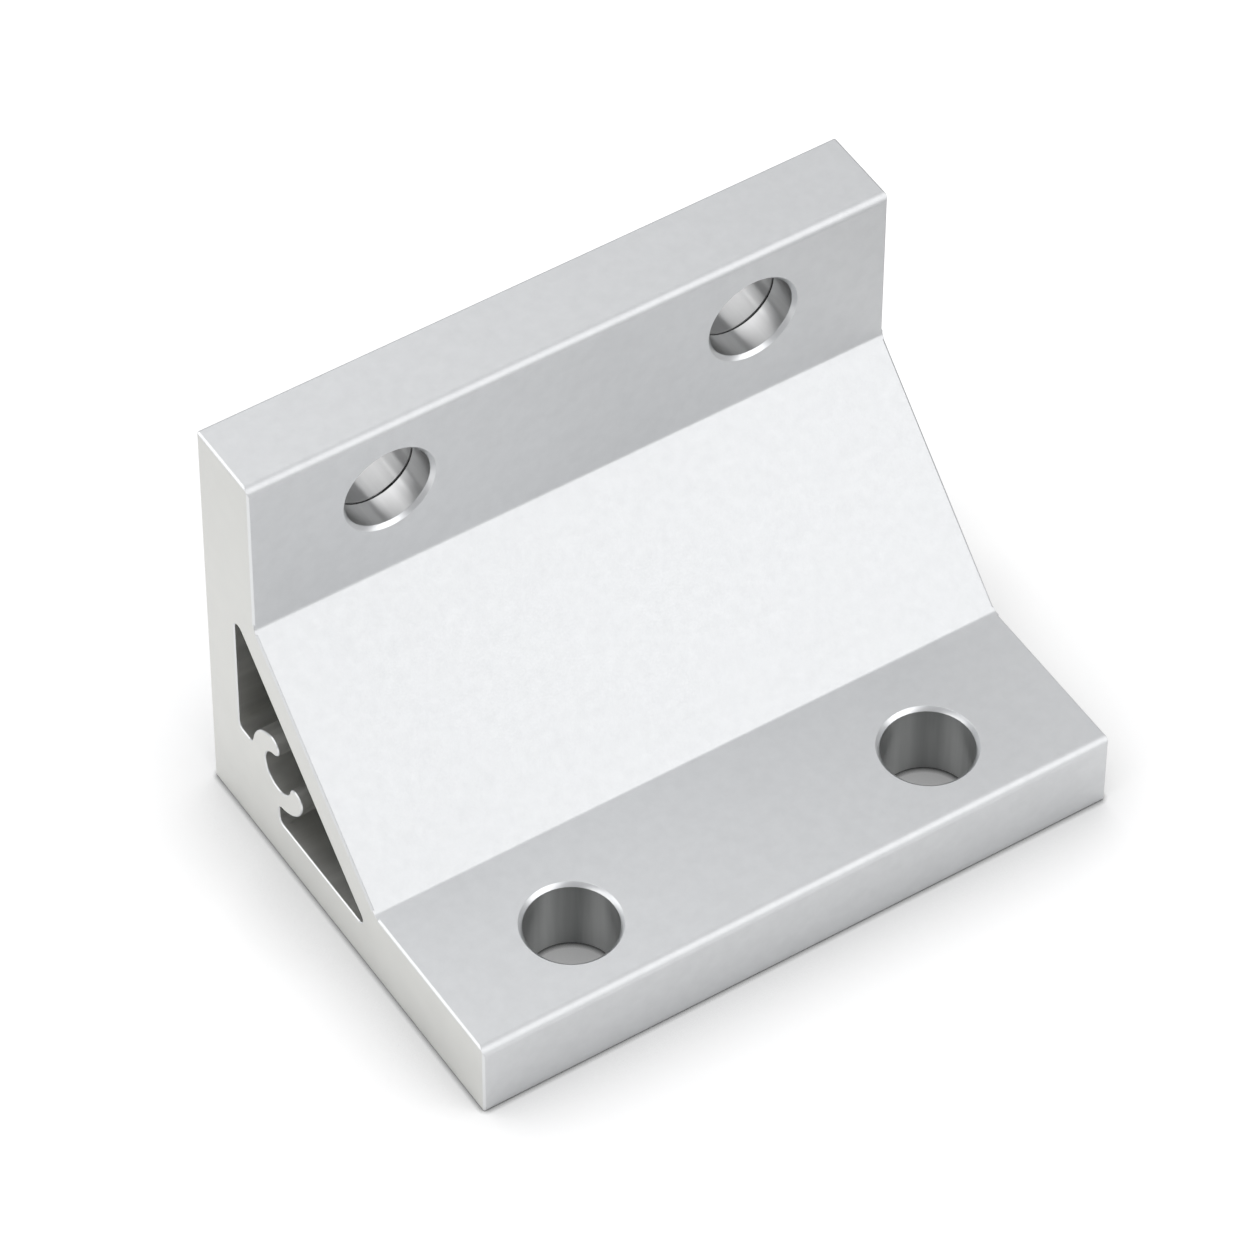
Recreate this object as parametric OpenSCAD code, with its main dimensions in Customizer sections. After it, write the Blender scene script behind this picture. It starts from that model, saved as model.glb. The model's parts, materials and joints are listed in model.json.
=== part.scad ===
// Corner bracket: one length of extruded aluminium section, cut to length, drilled and lightly deburred.
// The section has two equal legs at right angles, a sloped web across the corner, and a hollow
// three-sided cavity with an open screw channel in its heel.
// X runs along the extrusion, the base leg reaches towards -Y, and the upright leg stands along +Z.
// The origin is the middle of the heel edge, where the two outer faces meet.

/* [Legs] */
// Length of the bracket along the extrusion
length = 70; // [54:1:160]
// Height of the upright leg above the underside
upright_h = 48.5; // [44:0.5:80]
// Reach of the base leg in front of the back face
base_w = 48.5; // [44:0.5:80]
// Thickness of each leg
leg_t = 9; // [7:0.5:12]

/* [Sloped web] */
// Distance from each outer face at which the web leaves the other leg
web_reach = 29.5; // [28:0.5:33]
// Wall thickness of the web
web_t = 3.5; // [2:0.25:5]
// Fillet between the web and each leg
web_fillet_r = 0.5; // [0.2:0.1:3]

/* [Cavity] */
// Wall left between the cavity and each outer face
heel_wall = 5.2; // [3.5:0.1:6]
// Radius in the two narrow ends of the cavity
cavity_end_r = 0.8; // [0.3:0.1:1.6]
// Radius in the corners of the two pockets beside the channel
pocket_r = 0.8; // [0.2:0.1:0.8]

/* [Screw channel] */
// Distance of the channel's axis from each outer face
channel_at = 12.2; // [11.6:0.1:13.2]
// Inside diameter of the channel, for a self-tapping screw
channel_d = 4.5; // [3.5:0.1:5]
// Thickness of the two arms that curl round the channel
arm_t = 2.25; // [1.5:0.05:2.6]
// Angle from the middle of the mouth to the centre of each arm's round end
mouth_angle = 58; // [45:1:75]

/* [Bolt holes] */
// Diameter of the four bolt holes
hole_d = 9.2; // [5:0.1:10]
// Distance between the two holes of a leg
hole_pitch = 40; // [20:1:44]
// Distance of the holes from the free end of their leg
hole_margin = 8.5; // [6.5:0.5:13]
// Chamfer at both rims of a hole
rim_chamfer = 0.4; // [0.1:0.05:1]
// Depth of the fine tool mark in the upright leg's holes, from the inner face
mark_at = 3.5; // [2:0.1:5]
// Width of the tool mark
mark_w = 0.25; // [0.1:0.05:0.6]
// How far the tool mark is cut into the wall of the hole
mark_depth = 0.12; // [0.05:0.01:0.3]

/* [Edges] */
// Radius of the inner edge at the end of each leg
leg_end_r = 1; // [0.3:0.1:3]
// Radius of the section's other outer corners
corner_r = 0.3; // [0.1:0.05:0.3]
// Deburr chamfer round the outline at both cut ends
edge_break = 0.2; // [0.1:0.05:0.5]

/* [Hidden] */
$fn = 96;
// Straight runs that make up one small fillet
arc_steps = 8;
metal = [0.79, 0.80, 0.81];
right_angle = 90;
diagonal = 45;
// How far a cut or a filling piece runs past the face that it meets
past = 1;
// What a point's two section coordinates add up to on the web's outer face and on its inner face
web_outer_sum = leg_t + web_reach;
web_inner_sum = web_outer_sum - web_t * sqrt(2);
// The screw channel's boss and its arms
channel_r = channel_d / 2;
boss_r = channel_r + arm_t;
arm_mid_r = (channel_r + boss_r) / 2;
hole_r = hole_d / 2;

// Points along an arc, from one angle to another
function arc(centre, r, from, to) = [
    for (i = [0 : arc_steps])
        centre + r * [cos(from + (to - from) * i / arc_steps), sin(from + (to - from) * i / arc_steps)]
];

// Takes a corner at the origin, with its material towards +x and +y, down to a radius
module corner_cut(r) {
    difference() {
        translate([-past, -past]) square(r + past);
        translate([r, r]) circle(r);
    }
}

// A corner cut placed on the section, turned to where the material lies
module round_off(at, turn, r) {
    translate(at) rotate(turn * right_angle) corner_cut(r);
}

// Draws the children, and again with the two legs swapped
module both_legs() {
    children();
    mirror([1, -1]) children();
}

// Outer outline of the section: first coordinate forward from the back face, second one up
module outline() {
    // Centre of the fillet above the web; the one in front of it has its coordinates swapped
    near = leg_t + web_fillet_r;
    far = web_reach + web_fillet_r * (sqrt(2) - 1);
    difference() {
        polygon(concat(
            [[0, 0], [base_w, 0], [base_w, leg_t]],
            arc([far, near], web_fillet_r, -right_angle, -right_angle - diagonal),
            arc([near, far], web_fillet_r, -right_angle - diagonal, -2 * right_angle),
            [[leg_t, upright_h], [0, upright_h]]
        ));
        round_off([0, 0], 0, corner_r);
        round_off([base_w, 0], 1, corner_r);
        round_off([base_w, leg_t], 2, leg_end_r);
        round_off([leg_t, upright_h], 2, leg_end_r);
        round_off([0, upright_h], 3, corner_r);
    }
}

// The three-sided space inside the web, with its two narrow ends rounded
module cavity_triangle() {
    near = heel_wall + cavity_end_r;
    far = web_inner_sum - near - cavity_end_r * sqrt(2);
    polygon(concat(
        [[heel_wall, heel_wall]],
        arc([far, near], cavity_end_r, -right_angle, diagonal),
        arc([near, far], cavity_end_r, diagonal, 2 * right_angle)
    ));
}

// Rounds both corners of the pocket between the upright leg's wall and the upper arm
module pocket_rounding() {
    lean = asin(pocket_r / (boss_r + pocket_r));
    centre = [channel_at - (boss_r + pocket_r) * cos(lean), channel_at + pocket_r];
    translate([heel_wall, channel_at]) corner_cut(pocket_r);
    polygon(concat(
        [[channel_at, channel_at], [channel_at, channel_at - past], [centre[0], channel_at - past]],
        arc(centre, pocket_r, -right_angle, -lean)
    ));
}

// Everything that stands in the cavity: the solid heel and the two arms of the screw channel
module heel_and_arms() {
    mouth_reach = boss_r * sqrt(2);
    difference() {
        union() {
            square(channel_at);
            translate([channel_at, channel_at]) circle(boss_r);
            both_legs() pocket_rounding();
        }
        translate([channel_at, channel_at]) {
            circle(channel_r);
            rotate(diagonal) polygon([
                [0, 0],
                mouth_reach * [cos(mouth_angle), -sin(mouth_angle)],
                [mouth_reach, 0],
                mouth_reach * [cos(mouth_angle), sin(mouth_angle)]
            ]);
        }
    }
    translate([channel_at, channel_at])
        for (side = [-1, 1])
            rotate(diagonal + side * mouth_angle) translate([arm_mid_r, 0]) circle(arm_t / 2);
}

// The whole section of the extrusion
module section() {
    difference() {
        outline();
        difference() {
            cavity_triangle();
            heel_and_arms();
        }
    }
}

// Stands a shape drawn on the section up in space, with its third axis along -X
module on_section() {
    rotate([right_angle, 0, -right_angle]) children();
}

// One bolt hole along +z, starting at the leg's outer face, with both rims chamfered
module bolt_hole(marked) {
    cone = rim_chamfer + past;
    translate([0, 0, -past]) cylinder(h = leg_t + 2 * past, r = hole_r);
    translate([0, 0, -past]) cylinder(h = cone, r1 = hole_r + cone, r2 = hole_r);
    translate([0, 0, leg_t - rim_chamfer]) cylinder(h = cone, r1 = hole_r, r2 = hole_r + cone);
    if (marked)
        translate([0, 0, leg_t - mark_at - mark_w]) cylinder(h = mark_w, r = hole_r + mark_depth);
}

// The two holes of each leg
module bolt_holes() {
    for (side = [-1, 1]) {
        translate([side * hole_pitch / 2, hole_margin - base_w, 0]) bolt_hole(false);
        translate([side * hole_pitch / 2, 0, upright_h - hole_margin])
            rotate([right_angle, 0, 0]) bolt_hole(true);
    }
}

// Chamfers one straight edge of a cut end, drawn on the section from one corner to the next
module edge_cut(from, to, before, after) {
    run = to - from;
    size = 4 * edge_break;
    translate([from[0], from[1], length / 2])
        rotate([0, 0, atan2(run[1], run[0])])
            rotate([diagonal, 0, 0])
                translate([-before, -size / 2, -edge_break * cos(diagonal)])
                    cube([norm(run) + before + after, size, size]);
}

// Chamfers round the outline at both cut ends
module end_edges() {
    corners = [
        [0, 0],
        [base_w, 0],
        [base_w, leg_t],
        [web_reach, leg_t],
        [leg_t, web_reach],
        [leg_t, upright_h],
        [0, upright_h]
    ];
    // The cut runs past an outer corner and stops short of an inner one, where its fillet begins
    run_on = [past, past, past, -web_fillet_r, -web_fillet_r, past, past];
    count = len(corners);
    for (end = [0, 1])
        mirror([0, 0, end])
            for (i = [0 : count - 1]) {
                next = (i + 1) % count;
                edge_cut(corners[i], corners[next], run_on[i], run_on[next]);
            }
}

module bracket() {
    color(metal)
        difference() {
            on_section() linear_extrude(height = length, center = true) section();
            bolt_holes();
            on_section() end_edges();
        }
}

bracket();
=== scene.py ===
import json
import math

import bmesh
import bpy
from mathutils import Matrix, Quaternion, Vector


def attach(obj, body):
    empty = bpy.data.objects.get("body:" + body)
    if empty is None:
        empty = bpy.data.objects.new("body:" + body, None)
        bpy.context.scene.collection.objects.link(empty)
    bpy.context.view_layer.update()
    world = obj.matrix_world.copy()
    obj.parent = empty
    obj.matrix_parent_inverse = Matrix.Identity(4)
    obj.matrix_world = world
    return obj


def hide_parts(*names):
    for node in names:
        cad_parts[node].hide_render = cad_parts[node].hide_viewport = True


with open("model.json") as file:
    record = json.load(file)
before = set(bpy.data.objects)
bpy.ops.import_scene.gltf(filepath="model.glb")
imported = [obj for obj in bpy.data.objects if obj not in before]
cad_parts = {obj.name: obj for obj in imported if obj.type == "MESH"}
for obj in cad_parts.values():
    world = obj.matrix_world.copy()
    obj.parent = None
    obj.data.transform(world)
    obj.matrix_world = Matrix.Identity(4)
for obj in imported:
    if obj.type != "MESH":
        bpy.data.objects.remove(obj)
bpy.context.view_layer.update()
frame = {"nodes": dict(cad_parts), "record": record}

# Camera.
# A long lens looks down on the bracket from its front left, halfway between level and straight down.
# Its roll and target put the bracket where it stands in the picture.
MM = 0.001
CAMERA_AZIMUTH = math.radians(-33.0)
CAMERA_ELEVATION = math.radians(48.85)
CAMERA_ROLL = math.radians(0.33)
CAMERA_DISTANCE = 724 * MM
CAMERA_TARGET = Vector((-1.0, -19.9, 19.6)) * MM
CAMERA_NEAREST = 10 * MM
LENS_MM = 221

camera_data = bpy.data.cameras.new("camera")
camera_data.lens = LENS_MM
camera_data.clip_start = CAMERA_NEAREST
camera = bpy.data.objects.new("camera", camera_data)
bpy.context.collection.objects.link(camera)
back = Vector((
    math.sin(CAMERA_AZIMUTH) * math.cos(CAMERA_ELEVATION),
    -math.cos(CAMERA_AZIMUTH) * math.cos(CAMERA_ELEVATION),
    math.sin(CAMERA_ELEVATION),
))
camera.location = CAMERA_TARGET + back * CAMERA_DISTANCE
camera.rotation_mode = "QUATERNION"
camera.rotation_quaternion = (-back).to_track_quat("-Z", "Y") @ Quaternion((0, 0, 1), CAMERA_ROLL)
bpy.context.scene.camera = camera
bpy.context.scene.view_settings.view_transform = "Standard"


# Studio light.
# An even white tent surrounds the bracket. A large softbox at its front right lights the sloped web, one
# overhead towards the back lights the tops of both legs, and a low wide one fills in the near end from the
# left.
def linear(hex_colour):
    """Turns an sRGB hex colour into the linear red, green, blue and alpha that a shader takes."""
    channels = [int(hex_colour[i:i + 2], 16) / 255 for i in (1, 3, 5)]
    return [c / 12.92 if c <= 0.04045 else ((c + 0.055) / 1.055) ** 2.4 for c in channels] + [1.0]


def add_node(tree, kind, settings=None, links=None):
    """Adds one node; a setting is a property or an input's value, and a link gives what feeds an input."""
    node = tree.nodes.new(kind)
    for name, value in (settings or {}).items():
        if isinstance(name, str) and hasattr(node, name):
            setattr(node, name, value)
        else:
            node.inputs[name].default_value = value
    for name, source in (links or {}).items():
        tree.links.new(source, node.inputs[name])
    return node


TENT_COLOUR = linear("#FCFDFF")
TENT_LEVEL = 0.45
TENT_LEVEL_SEEN = 1.0
# Name, place, width and height in metres, and level, where 1 is as bright as a lit white wall
SOFTBOXES = (
    ("key_softbox", (0.36, -0.72, 0.60), 0.90, 1.10, 1.38),
    ("overhead_softbox", (-0.12, 0.34, 0.60), 0.86, 0.86, 0.98),
    ("left_softbox", (-0.85, 0.16, 0.33), 1.25, 0.50, 1.04),
)

world = bpy.data.worlds.new("studio_tent")
world.use_nodes = True
tree = world.node_tree
tree.nodes.clear()
ray = add_node(tree, "ShaderNodeLightPath")
tent = add_node(tree, "ShaderNodeBackground", {"Color": TENT_COLOUR, "Strength": TENT_LEVEL})
seen_tent = add_node(tree, "ShaderNodeBackground", {"Color": TENT_COLOUR, "Strength": TENT_LEVEL_SEEN})
either_tent = add_node(tree, "ShaderNodeMixShader", {}, {
    0: ray.outputs["Is Camera Ray"],
    1: tent.outputs[0],
    2: seen_tent.outputs[0],
})
add_node(tree, "ShaderNodeOutputWorld", {}, {"Surface": either_tent.outputs[0]})
bpy.context.scene.world = world

for name, place, width, height, level in SOFTBOXES:
    light = bpy.data.lights.new(name, "AREA")
    light.shape = "RECTANGLE"
    light.size = width
    light.size_y = height
    light.energy = level * math.pi * width * height
    lamp = bpy.data.objects.new(name, light)
    lamp.location = place
    lamp.rotation_euler = (CAMERA_TARGET - lamp.location).to_track_quat("-Z", "Y").to_euler()
    bpy.context.collection.objects.link(lamp)


# Floor.
# A sheet of matt backdrop paper. The camera and the metal's reflections see it brighter than it is lit, which
# keeps the background white; the reflections see that only in a pool round the bracket, as a lit table is: a
# painted pool of light. Ambient occlusion fades the glow close to the bracket and darkens the paper's colour
# at the contact, which paints its soft shadow and the dark line where it touches.
PAPER_COLOUR = linear("#C4C4C4")
PAPER_HALF_SIZE = 3.0
PAPER_GRAIN = 0.8 * MM
PAPER_FIBRE = 0.05 * MM
PAPER_GLOW_SEEN = 0.66
PAPER_GLOW_REFLECTED = 0.53
POOL_CENTRE = (-55 * MM, -40 * MM, 0)
POOL_FROM = 100 * MM
POOL_TO = 140 * MM
# How far the soft shadow reaches, how deep it is to the camera and to the metal, and what it leaves of the
# glow that the camera sees
SHADOW_REACH = 16 * MM
SHADOW_DEPTH_SEEN = 1.5
SHADOW_DEPTH_REFLECTED = 1.7
SHADOW_LEAST_SHARE = 0.15
# The same for the dark line where the bracket touches the paper
CONTACT_REACH = 0.55 * MM
CONTACT_DEPTH = 1.1
SHADOW_SAMPLES = 4


def new_finish(name):
    """Starts a material; gives it, its empty node tree and the place on the object that its patterns read."""
    material = bpy.data.materials.new(name)
    material.use_nodes = True
    tree = material.node_tree
    tree.nodes.clear()
    return material, tree, add_node(tree, "ShaderNodeTexCoord").outputs["Object"]


# Matt backdrop paper: a soft fibre grain that barely shows
paper, tree, place = new_finish("matt_backdrop_paper")
grain = add_node(tree, "ShaderNodeTexNoise", {"Scale": 1 / PAPER_GRAIN, "Detail": 3.0}, {"Vector": place})
bump = add_node(tree, "ShaderNodeBump", {"Strength": 0.1, "Distance": PAPER_FIBRE},
                {"Height": grain.outputs[0]})
# Painted dark line where the bracket touches: a short ambient occlusion darkens the paper's colour and its
# glow
touch = add_node(tree, "ShaderNodeAmbientOcclusion", {"samples": SHADOW_SAMPLES, "Distance": CONTACT_REACH})
contact = add_node(tree, "ShaderNodeMath", {"operation": "POWER", 1: CONTACT_DEPTH}, {0: touch.outputs["AO"]})
shaded = add_node(tree, "ShaderNodeMix",
                  {"data_type": "RGBA", "blend_type": "MULTIPLY", 0: 1.0, 6: PAPER_COLOUR},
                  {7: contact.outputs[0]})
sheet = add_node(tree, "ShaderNodeBsdfDiffuse", {"Roughness": 0.5},
                 {"Color": shaded.outputs[2], "Normal": bump.outputs[0]})

# Painted soft shadow: a longer ambient occlusion dims the glow near the bracket, to the camera and to the
# metal
near = add_node(tree, "ShaderNodeAmbientOcclusion", {"samples": SHADOW_SAMPLES, "Distance": SHADOW_REACH})
seen_shadow = add_node(tree, "ShaderNodeMath", {"operation": "POWER", 1: SHADOW_DEPTH_SEEN},
                       {0: near.outputs["AO"]})
seen_glow = add_node(tree, "ShaderNodeMapRange", {
    "To Min": SHADOW_LEAST_SHARE * PAPER_GLOW_SEEN, "To Max": PAPER_GLOW_SEEN,
}, {"Value": seen_shadow.outputs[0]})

# Painted pool of light: the glow that reflections see fades out with distance from a point beside the bracket
from_middle = add_node(tree, "ShaderNodeVectorMath", {"operation": "DISTANCE", 1: POOL_CENTRE}, {0: place})
pool = add_node(tree, "ShaderNodeMapRange", {
    "interpolation_type": "SMOOTHSTEP",
    "From Min": POOL_FROM, "From Max": POOL_TO, "To Min": PAPER_GLOW_REFLECTED, "To Max": 0.0,
}, {"Value": from_middle.outputs["Value"]})
reflected_shadow = add_node(tree, "ShaderNodeMath", {"operation": "POWER", 1: SHADOW_DEPTH_REFLECTED},
                            {0: near.outputs["AO"]})
shaded_pool = add_node(tree, "ShaderNodeMath", {"operation": "MULTIPLY"},
                       {0: pool.outputs[0], 1: reflected_shadow.outputs[0]})

ray = add_node(tree, "ShaderNodeLightPath")
reflected = add_node(tree, "ShaderNodeMath", {"operation": "MAXIMUM"},
                     {0: ray.outputs["Is Glossy Ray"], 1: ray.outputs["Is Transmission Ray"]})
reflected_glow = add_node(tree, "ShaderNodeMath", {"operation": "MULTIPLY"},
                          {0: reflected.outputs[0], 1: shaded_pool.outputs[0]})
either_glow = add_node(tree, "ShaderNodeMath", {"operation": "MULTIPLY_ADD"}, {
    0: ray.outputs["Is Camera Ray"],
    1: seen_glow.outputs[0],
    2: reflected_glow.outputs[0],
})
touched_glow = add_node(tree, "ShaderNodeMath", {"operation": "MULTIPLY"},
                        {0: either_glow.outputs[0], 1: contact.outputs[0]})
glow = add_node(tree, "ShaderNodeEmission", {}, {"Strength": touched_glow.outputs[0]})
glowing_sheet = add_node(tree, "ShaderNodeAddShader", {}, {0: sheet.outputs[0], 1: glow.outputs[0]})
add_node(tree, "ShaderNodeOutputMaterial", {}, {"Surface": glowing_sheet.outputs[0]})

paper_mesh = bpy.data.meshes.new("floor")
bm = bmesh.new()
bmesh.ops.create_grid(bm, x_segments=1, y_segments=1, size=PAPER_HALF_SIZE)
bm.to_mesh(paper_mesh)
bm.free()
paper_mesh.materials.append(paper)
floor = bpy.data.objects.new("floor", paper_mesh)
bpy.context.collection.objects.link(floor)

# Bracket.
# One length of extruded aluminium section, cut to length on a saw and drilled four times. Satin anodising in
# its natural colour leaves a fine even matt skin. It is then countersunk lightly at each rim and deburred.
WELD = 0.001 * MM
FLAT = math.radians(0.05)
SHARP = math.radians(30)
MOUTH_DEBURR = 0.12 * MM
EDGE_SOFTNESS = 0.05 * MM

bm = bmesh.new()
bm.from_mesh(frame["nodes"]["bracket"].data)
bmesh.ops.remove_doubles(bm, verts=bm.verts, dist=WELD)
bmesh.ops.dissolve_limit(bm, angle_limit=FLAT, verts=bm.verts, edges=bm.edges)

# The material slots, and what tells their faces apart: where a face lies, and how much of its normal points
# along the extrusion or along a bore
SKIN, SAWN_END, BASE_BORE, UPRIGHT_BORE, CUT_CHAMFER, DRILL_GROOVE, CAVITY_WALL = range(7)
END_FACING = 0.9
END_CHAMFER_FACING = 0.6
RIM_CHAMFER_FACING = 0.5
CAVITY_FROM = 4 * MM
CAVITY_TO = 36 * MM
BORE_RADII = 1.15
BORE_FROM = 1 * MM
BORE_TO = 8 * MM
GROOVE_PAST_BORE = 0.02 * MM

mounts = {mount["name"]: mount for mount in frame["record"]["mounts"]}
bores = []
for slot, name in ((BASE_BORE, "base_holes"), (UPRIGHT_BORE, "upright_holes")):
    mount = mounts[name]
    pitch = mount["dims"]["spacing_x_mm"] * MM
    for side in (-0.5, 0.5):
        centre = Vector(mount["pos_m"]) + Vector((side * pitch, 0, 0))
        bores.append((slot, centre, Vector(mount["axis"]), mount["dims"]["hole_r_mm"] * MM))

for face in bm.faces:
    middle = face.calc_center_median()
    along = abs(face.normal.x)
    face.material_index = SKIN
    if along > END_FACING:
        face.material_index = SAWN_END
    elif along > END_CHAMFER_FACING:
        face.material_index = CUT_CHAMFER
    elif min(-middle.y, middle.z) > CAVITY_FROM and middle.z - middle.y < CAVITY_TO:
        face.material_index = CAVITY_WALL
    for slot, centre, axis, radius in bores:
        off = middle - centre
        depth = -off.dot(axis)
        from_axis = (off + axis * depth).length
        facing = abs(face.normal.dot(axis))
        if from_axis > radius * BORE_RADII:
            continue
        if BORE_FROM < depth < BORE_TO:
            face.material_index = DRILL_GROOVE if from_axis > radius + GROOVE_PAST_BORE else slot
        elif facing < RIM_CHAMFER_FACING:
            face.material_index = slot
        elif facing < END_FACING:
            face.material_index = CUT_CHAMFER

mouth_edges = [edge for edge in bm.edges
               if {face.material_index for face in edge.link_faces} == {SAWN_END, CAVITY_WALL}]
bmesh.ops.bevel(bm, geom=mouth_edges, offset=MOUTH_DEBURR, offset_type="OFFSET", affect="EDGES", segments=1,
                profile=0.5, material=CUT_CHAMFER, clamp_overlap=True)
sharp_edges = [edge for edge in bm.edges if edge.calc_face_angle(0) > SHARP]
bmesh.ops.bevel(bm, geom=sharp_edges, offset=EDGE_SOFTNESS, offset_type="OFFSET", affect="EDGES", segments=2,
                profile=0.5, material=-1, clamp_overlap=True)
for face in bm.faces:
    face.smooth = True
mesh = bpy.data.meshes.new("corner_bracket")
bm.to_mesh(mesh)
bm.free()
bracket = bpy.data.objects.new("corner_bracket", mesh)
bpy.context.collection.objects.link(bracket)
keep_flat = bracket.modifiers.new("keep_flat", "WEIGHTED_NORMAL")
keep_flat.mode = "FACE_AREA"
keep_flat.weight = 50

# Where most of a noise texture's values lie, and how often a wave texture of scale 1 repeats, in metres
NOISE_SPAN = {"From Min": 0.3, "From Max": 0.7}
WAVE_REPEAT = math.pi / 10
# Height of the fine marks that tools and dies leave
MARK_HEIGHT = 0.01 * MM


# Satin anodised aluminium skin of an extrusion: caustic etched, so it is matt and even, with faint die lines
# along its length, a fine speckle and a barely seen cloudiness
def extruded_skin():
    dull = linear("#DBDCDD")
    bright = linear("#DFE0E1")
    cloud = 1.2 * MM
    speckle = 0.15 * MM
    die_line = 0.15 * MM
    die_line_stretch = 80
    material, tree, place = new_finish("extruded_satin_anodised_aluminium")
    clouds = add_node(tree, "ShaderNodeTexNoise", {"Scale": 1 / cloud, "Detail": 4.0}, {"Vector": place})
    share = add_node(tree, "ShaderNodeMapRange", NOISE_SPAN, {"Value": clouds.outputs[0]})
    colour = add_node(tree, "ShaderNodeMix", {"data_type": "RGBA", 6: dull, 7: bright}, {0: share.outputs[0]})
    specks = add_node(tree, "ShaderNodeTexNoise", {"Scale": 1 / speckle, "Detail": 2.0}, {"Vector": place})
    rough = add_node(tree, "ShaderNodeMapRange", {**NOISE_SPAN, "To Min": 0.49, "To Max": 0.55},
                     {"Value": specks.outputs[0]})
    along = add_node(tree, "ShaderNodeMapping", {"Scale": (1 / die_line_stretch, 1, 1)}, {"Vector": place})
    lines = add_node(tree, "ShaderNodeTexNoise", {"Scale": 1 / die_line, "Detail": 2.0},
                     {"Vector": along.outputs[0]})
    line_bump = add_node(tree, "ShaderNodeBump", {"Strength": 0.05, "Distance": MARK_HEIGHT},
                         {"Height": lines.outputs[0]})
    bump = add_node(tree, "ShaderNodeBump", {"Strength": 0.08, "Distance": MARK_HEIGHT},
                    {"Height": specks.outputs[0], "Normal": line_bump.outputs[0]})
    metal = add_node(tree, "ShaderNodeBsdfPrincipled", {"Metallic": 1.0}, {
        "Base Color": colour.outputs[2], "Roughness": rough.outputs[0], "Normal": bump.outputs[0],
    })
    add_node(tree, "ShaderNodeOutputMaterial", {}, {"Surface": metal.outputs[0]})
    return material


# Sawn and anodised end of the extrusion: a rougher, slightly warmer face with faint straight saw marks, drawn
# coarser than real ones, and a slight patchiness. Its tone, lighter than the skin's, is painted light on the
# cut ends.
def sawn_end():
    dull = linear("#E6E6E3")
    bright = linear("#E9E9E6")
    patch = 3 * MM
    saw_mark = 1.2 * MM
    material, tree, place = new_finish("sawn_satin_anodised_aluminium")
    patches = add_node(tree, "ShaderNodeTexNoise", {"Scale": 1 / patch, "Detail": 3.0}, {"Vector": place})
    share = add_node(tree, "ShaderNodeMapRange", NOISE_SPAN, {"Value": patches.outputs[0]})
    colour = add_node(tree, "ShaderNodeMix", {"data_type": "RGBA", 6: dull, 7: bright}, {0: share.outputs[0]})
    rough = add_node(tree, "ShaderNodeMapRange", {**NOISE_SPAN, "To Min": 0.6, "To Max": 0.64},
                     {"Value": patches.outputs[0]})
    marks = add_node(tree, "ShaderNodeTexWave", {
        "wave_type": "BANDS", "bands_direction": "Z",
        "Scale": WAVE_REPEAT / saw_mark, "Distortion": 1.0, "Detail": 2.0,
    }, {"Vector": place})
    bump = add_node(tree, "ShaderNodeBump", {"Strength": 0.03, "Distance": MARK_HEIGHT},
                    {"Height": marks.outputs["Fac"]})
    metal = add_node(tree, "ShaderNodeBsdfPrincipled", {"Metallic": 1.0}, {
        "Base Color": colour.outputs[2], "Roughness": rough.outputs[0], "Normal": bump.outputs[0],
    })
    add_node(tree, "ShaderNodeOutputMaterial", {}, {"Surface": metal.outputs[0]})
    return material
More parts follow.
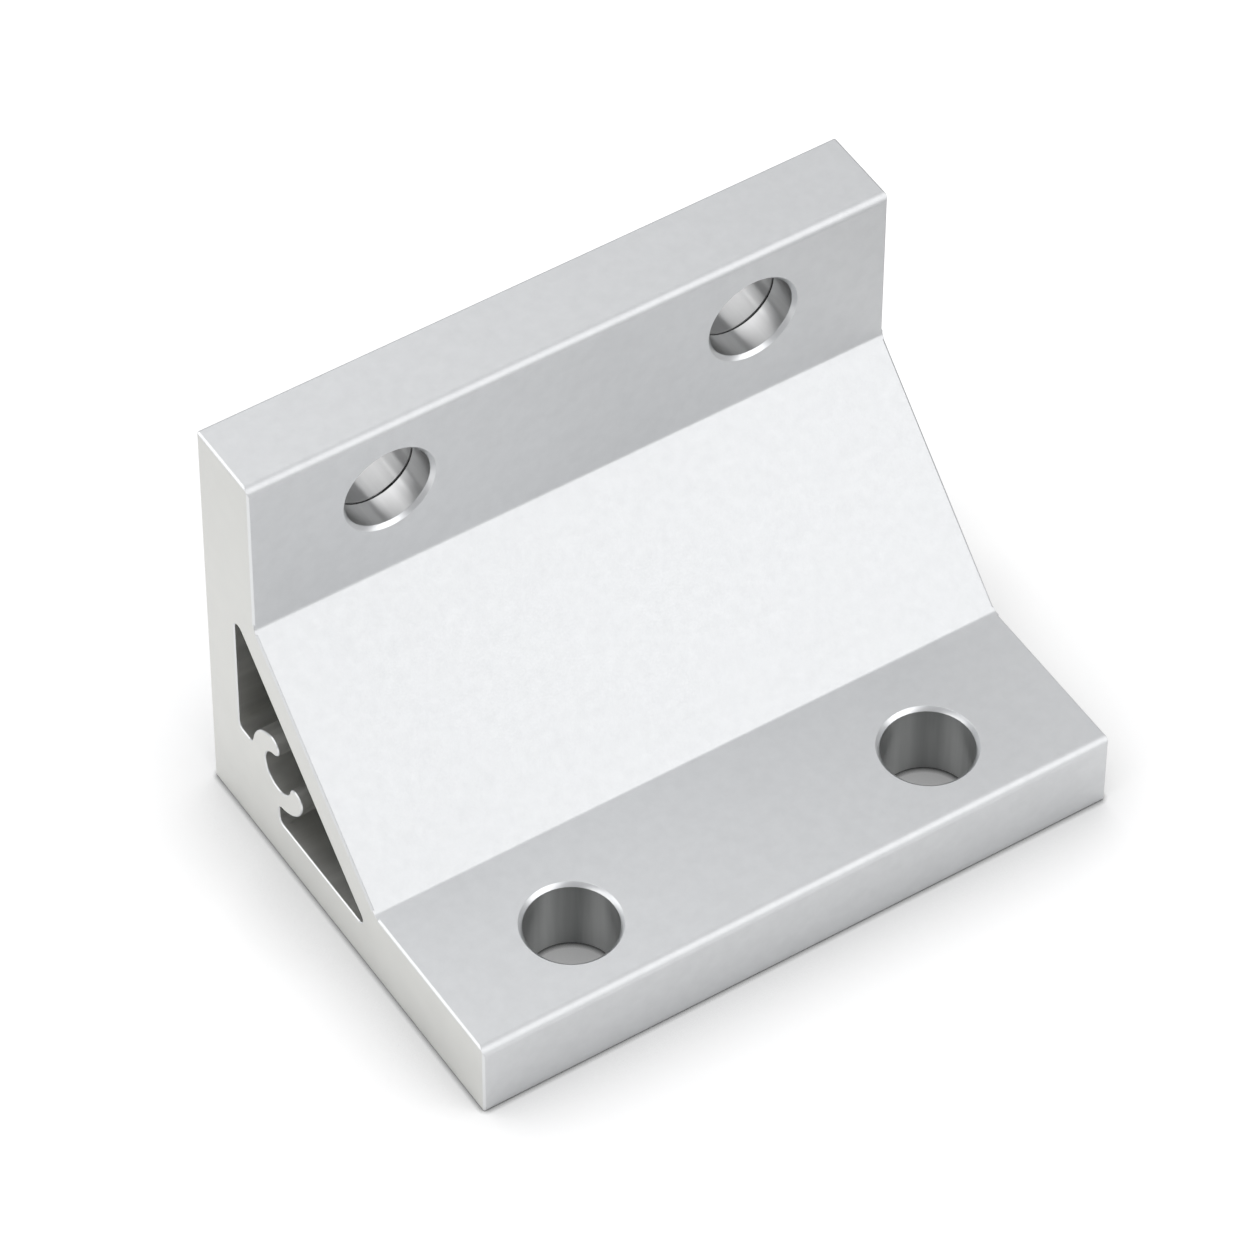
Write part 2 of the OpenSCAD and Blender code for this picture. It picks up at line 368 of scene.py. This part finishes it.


# Drilled and anodised wall of a bore: smoother than the skin, with rings from the drill's feed round its axis
# and
# painted reflections along it: bright and dark bands at fixed places round the axis, mixed with a share of
# soft random streaks. The rings are drawn coarser than real ones, to be seen.
def drilled_wall(name, axis, turn, start, reflection_band_width, dull, bright, painted_shade_from, painted_shade_tone):
    """Gives one leg's bores a wall with painted reflection bands along the axis; past a place on the axis,
    all is darker as painted shade.
    """
    ring = 0.75 * MM
    streak = 1.6 * MM
    streak_stretch = 20
    fine_streak_share = 0.3
    painted_shade_over = 0.3 * MM
    turned = {"X": 0.0, "Y": 0.0, "Z": 0.0, axis: turn}
    stretch = {"X": 1.0, "Y": 1.0, "Z": 1.0, axis: 1 / streak_stretch}
    material, tree, place = new_finish(name)
    rings = add_node(tree, "ShaderNodeTexWave", {
        "wave_type": "BANDS", "bands_direction": axis,
        "Scale": WAVE_REPEAT / ring, "Distortion": 0.6, "Detail": 2.0,
    }, {"Vector": place})
    bump = add_node(tree, "ShaderNodeBump", {"Strength": 0.05, "Distance": MARK_HEIGHT},
                    {"Height": rings.outputs["Fac"]})
    # Painted reflections: bright and dark bands and soft streaks at fixed places round the axis
    across = add_node(tree, "ShaderNodeMapping", {
        "Location": (-start, 0, 0), "Rotation": tuple(turned.values()), "Scale": tuple(stretch.values()),
    }, {"Vector": place})
    painted_reflection_bands = add_node(tree, "ShaderNodeTexWave", {
        "wave_type": "BANDS", "bands_direction": "X",
        "Scale": WAVE_REPEAT / reflection_band_width, "Distortion": 0.8, "Detail": 2.0, "Detail Scale": 2.0,
    }, {"Vector": across.outputs[0]})
    streaks = add_node(tree, "ShaderNodeTexNoise", {"Scale": 1 / streak, "Detail": 3.0},
                       {"Vector": across.outputs[0]})
    fine = add_node(tree, "ShaderNodeMapRange", {"From Min": 0.35, "From Max": 0.65},
                    {"Value": streaks.outputs[0]})
    share = add_node(tree, "ShaderNodeMix", {"data_type": "FLOAT", 0: fine_streak_share},
                     {2: painted_reflection_bands.outputs["Fac"], 3: fine.outputs[0]})
    colour = add_node(tree, "ShaderNodeMix", {"data_type": "RGBA", 6: linear(dull), 7: linear(bright)},
                      {0: share.outputs[0]})
    # Painted shade: the wall darkens past a place on the axis, deeper in the bore
    depth = add_node(tree, "ShaderNodeSeparateXYZ", {}, {"Vector": place})
    behind = add_node(tree, "ShaderNodeMapRange", {
        "From Min": painted_shade_from, "From Max": painted_shade_from + painted_shade_over,
    }, {"Value": depth.outputs[axis]})
    toned = add_node(tree, "ShaderNodeMix",
                     {"data_type": "RGBA", "blend_type": "MULTIPLY", 7: linear(painted_shade_tone)},
                     {0: behind.outputs[0], 6: colour.outputs[2]})
    along = add_node(tree, "ShaderNodeCombineXYZ", {axis: 1.0})
    metal = add_node(tree, "ShaderNodeBsdfPrincipled",
                     {"Metallic": 1.0, "Roughness": 0.28, "Anisotropic": 0.8},
                     {"Base Color": toned.outputs[2], "Normal": bump.outputs[0], "Tangent": along.outputs[0]})
    add_node(tree, "ShaderNodeOutputMaterial", {}, {"Surface": metal.outputs[0]})
    return material


# Chamfers cut after anodising by a countersink and a deburring blade: bare bright metal with fine cutter
# marks
def cut_chamfer():
    bright = linear("#E6E7E8")
    cutter_mark = 0.2 * MM
    material, tree, place = new_finish("cut_bright_aluminium")
    marks = add_node(tree, "ShaderNodeTexNoise", {"Scale": 1 / cutter_mark, "Detail": 2.0}, {"Vector": place})
    rough = add_node(tree, "ShaderNodeMapRange", {**NOISE_SPAN, "To Min": 0.32, "To Max": 0.4},
                     {"Value": marks.outputs[0]})
    bump = add_node(tree, "ShaderNodeBump", {"Strength": 0.1, "Distance": MARK_HEIGHT},
                    {"Height": marks.outputs[0]})
    metal = add_node(tree, "ShaderNodeBsdfPrincipled", {"Base Color": bright, "Metallic": 1.0},
                     {"Roughness": rough.outputs[0], "Normal": bump.outputs[0]})
    add_node(tree, "ShaderNodeOutputMaterial", {}, {"Surface": metal.outputs[0]})
    return material


# Groove left by the drill's corner: narrow and rough; its dark mottled colour is painted shade in the groove
def drill_groove():
    dark = linear("#3C3C3C")
    pale = linear("#585858")
    groove_mottle_size = 0.4 * MM
    material, tree, place = new_finish("dark_drill_groove_in_aluminium")
    groove_mottle = add_node(tree, "ShaderNodeTexNoise", {"Scale": 1 / groove_mottle_size, "Detail": 2.0}, {"Vector": place})
    share = add_node(tree, "ShaderNodeMapRange", NOISE_SPAN, {"Value": groove_mottle.outputs[0]})
    colour = add_node(tree, "ShaderNodeMix", {"data_type": "RGBA", 6: dark, 7: pale}, {0: share.outputs[0]})
    metal = add_node(tree, "ShaderNodeBsdfPrincipled", {"Metallic": 1.0, "Roughness": 0.6},
                     {"Base Color": colour.outputs[2]})
    add_node(tree, "ShaderNodeOutputMaterial", {}, {"Surface": metal.outputs[0]})
    return material


# Walls of the cavity as the die left them: a little duller and more neutral than the outside, with die lines
# along the bracket, drawn coarser than real ones
def cavity_wall():
    dull = linear("#D0D0CD")
    bright = linear("#ECECE9")
    die_line = 2.2 * MM
    die_line_stretch = 40
    die_line_height = 0.02 * MM
    material, tree, place = new_finish("as_extruded_aluminium")
    along = add_node(tree, "ShaderNodeMapping", {"Scale": (1 / die_line_stretch, 1, 1)}, {"Vector": place})
    lines = add_node(tree, "ShaderNodeTexNoise", {"Scale": 1 / die_line, "Detail": 4.0},
                     {"Vector": along.outputs[0]})
    share = add_node(tree, "ShaderNodeMapRange", NOISE_SPAN, {"Value": lines.outputs[0]})
    colour = add_node(tree, "ShaderNodeMix", {"data_type": "RGBA", 6: dull, 7: bright}, {0: share.outputs[0]})
    bump = add_node(tree, "ShaderNodeBump", {"Strength": 0.1, "Distance": die_line_height},
                    {"Height": lines.outputs[0]})
    metal = add_node(tree, "ShaderNodeBsdfPrincipled", {"Metallic": 1.0, "Roughness": 0.4},
                     {"Base Color": colour.outputs[2], "Normal": bump.outputs[0]})
    add_node(tree, "ShaderNodeOutputMaterial", {}, {"Surface": metal.outputs[0]})
    return material


# The base leg's bores are alike from end to end. The upright leg's are darker past the dark groove, towards
# the leg's back face, as painted shade.
BASE_BORE_END = 9.0 * MM
GROOVE_AT = -5.6 * MM
base_bore = drilled_wall(
    "drilled_anodised_aluminium_base", "Z", turn=math.radians(33), start=5.0 * MM, reflection_band_width=5.6 * MM,
    dull="#A8AAAA", bright="#F0F1F0", painted_shade_from=BASE_BORE_END, painted_shade_tone="#FFFFFF")
upright_bore = drilled_wall(
    "drilled_anodised_aluminium_upright", "Y", turn=math.radians(25.5), start=-5.3 * MM, reflection_band_width=9.0 * MM,
    dull="#BEBFBF", bright="#F9F9F9", painted_shade_from=GROOVE_AT, painted_shade_tone="#CBCBCB")
finishes = {
    SKIN: extruded_skin(),
    SAWN_END: sawn_end(),
    BASE_BORE: base_bore,
    UPRIGHT_BORE: upright_bore,
    CUT_CHAMFER: cut_chamfer(),
    DRILL_GROOVE: drill_groove(),
    CAVITY_WALL: cavity_wall(),
}
for slot in sorted(finishes):
    mesh.materials.append(finishes[slot])
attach(bracket, "root")
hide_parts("bracket")
